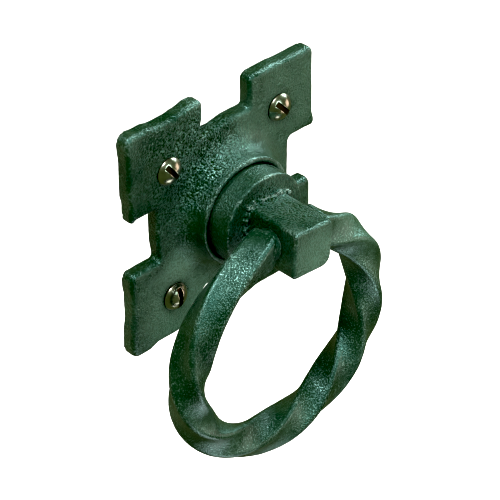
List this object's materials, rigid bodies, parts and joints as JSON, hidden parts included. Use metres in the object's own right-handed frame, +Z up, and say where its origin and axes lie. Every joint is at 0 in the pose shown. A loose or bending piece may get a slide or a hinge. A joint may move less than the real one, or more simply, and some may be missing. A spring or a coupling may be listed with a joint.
{
  "type": "gate ring pull",
  "caption": "Wrought-style gate pull: a notched square plate with a round boss carries a swivelling block, and a twisted square bar bent to a ring hangs from the block's sides.",
  "frame": {"origin": "middle of the plate's back face, where the swivel axis meets the gate", "axes": "+X to the right as the user sees the plate, +Y into the gate along the swivel axis, +Z up, with the ring hanging towards -Z and turned 8 degrees about the swivel axis, as in the picture"},
  "size_m": [0.0864, 0.0487, 0.1118],
  "materials": {
    "coated_cast_iron": "rough-cast iron under a thin dark green-black satin coating",
    "coated_forged_steel": "hammered forged steel under a thin dark green-black satin coating",
    "plain_steel": "plain rolled steel, slightly dull",
    "plated_screw_steel": "bright zinc plating with a faint yellow tint"
  },
  "bodies": {
    "plate": {"backplate": "coated_cast_iron", "screws": "plated_screw_steel"},
    "stem": {"swivel_stem": "coated_forged_steel", "retaining_washer": "plain_steel"},
    "ring": {"twisted_ring": "coated_forged_steel"}
  },
  "joints": [
    {"name": "stem_swivel", "type": "hinge", "parent": "plate", "child": "stem", "pos_m": [0, 0, 0], "axis": [0, -1, 0], "continuous": true},
    {"name": "ring_swing", "type": "hinge", "parent": "stem", "child": "ring", "pos_m": [0, -0.0304, 0], "axis": [-0.9903, 0, 0.1392], "range_deg": [-20, 200]}
  ]
}
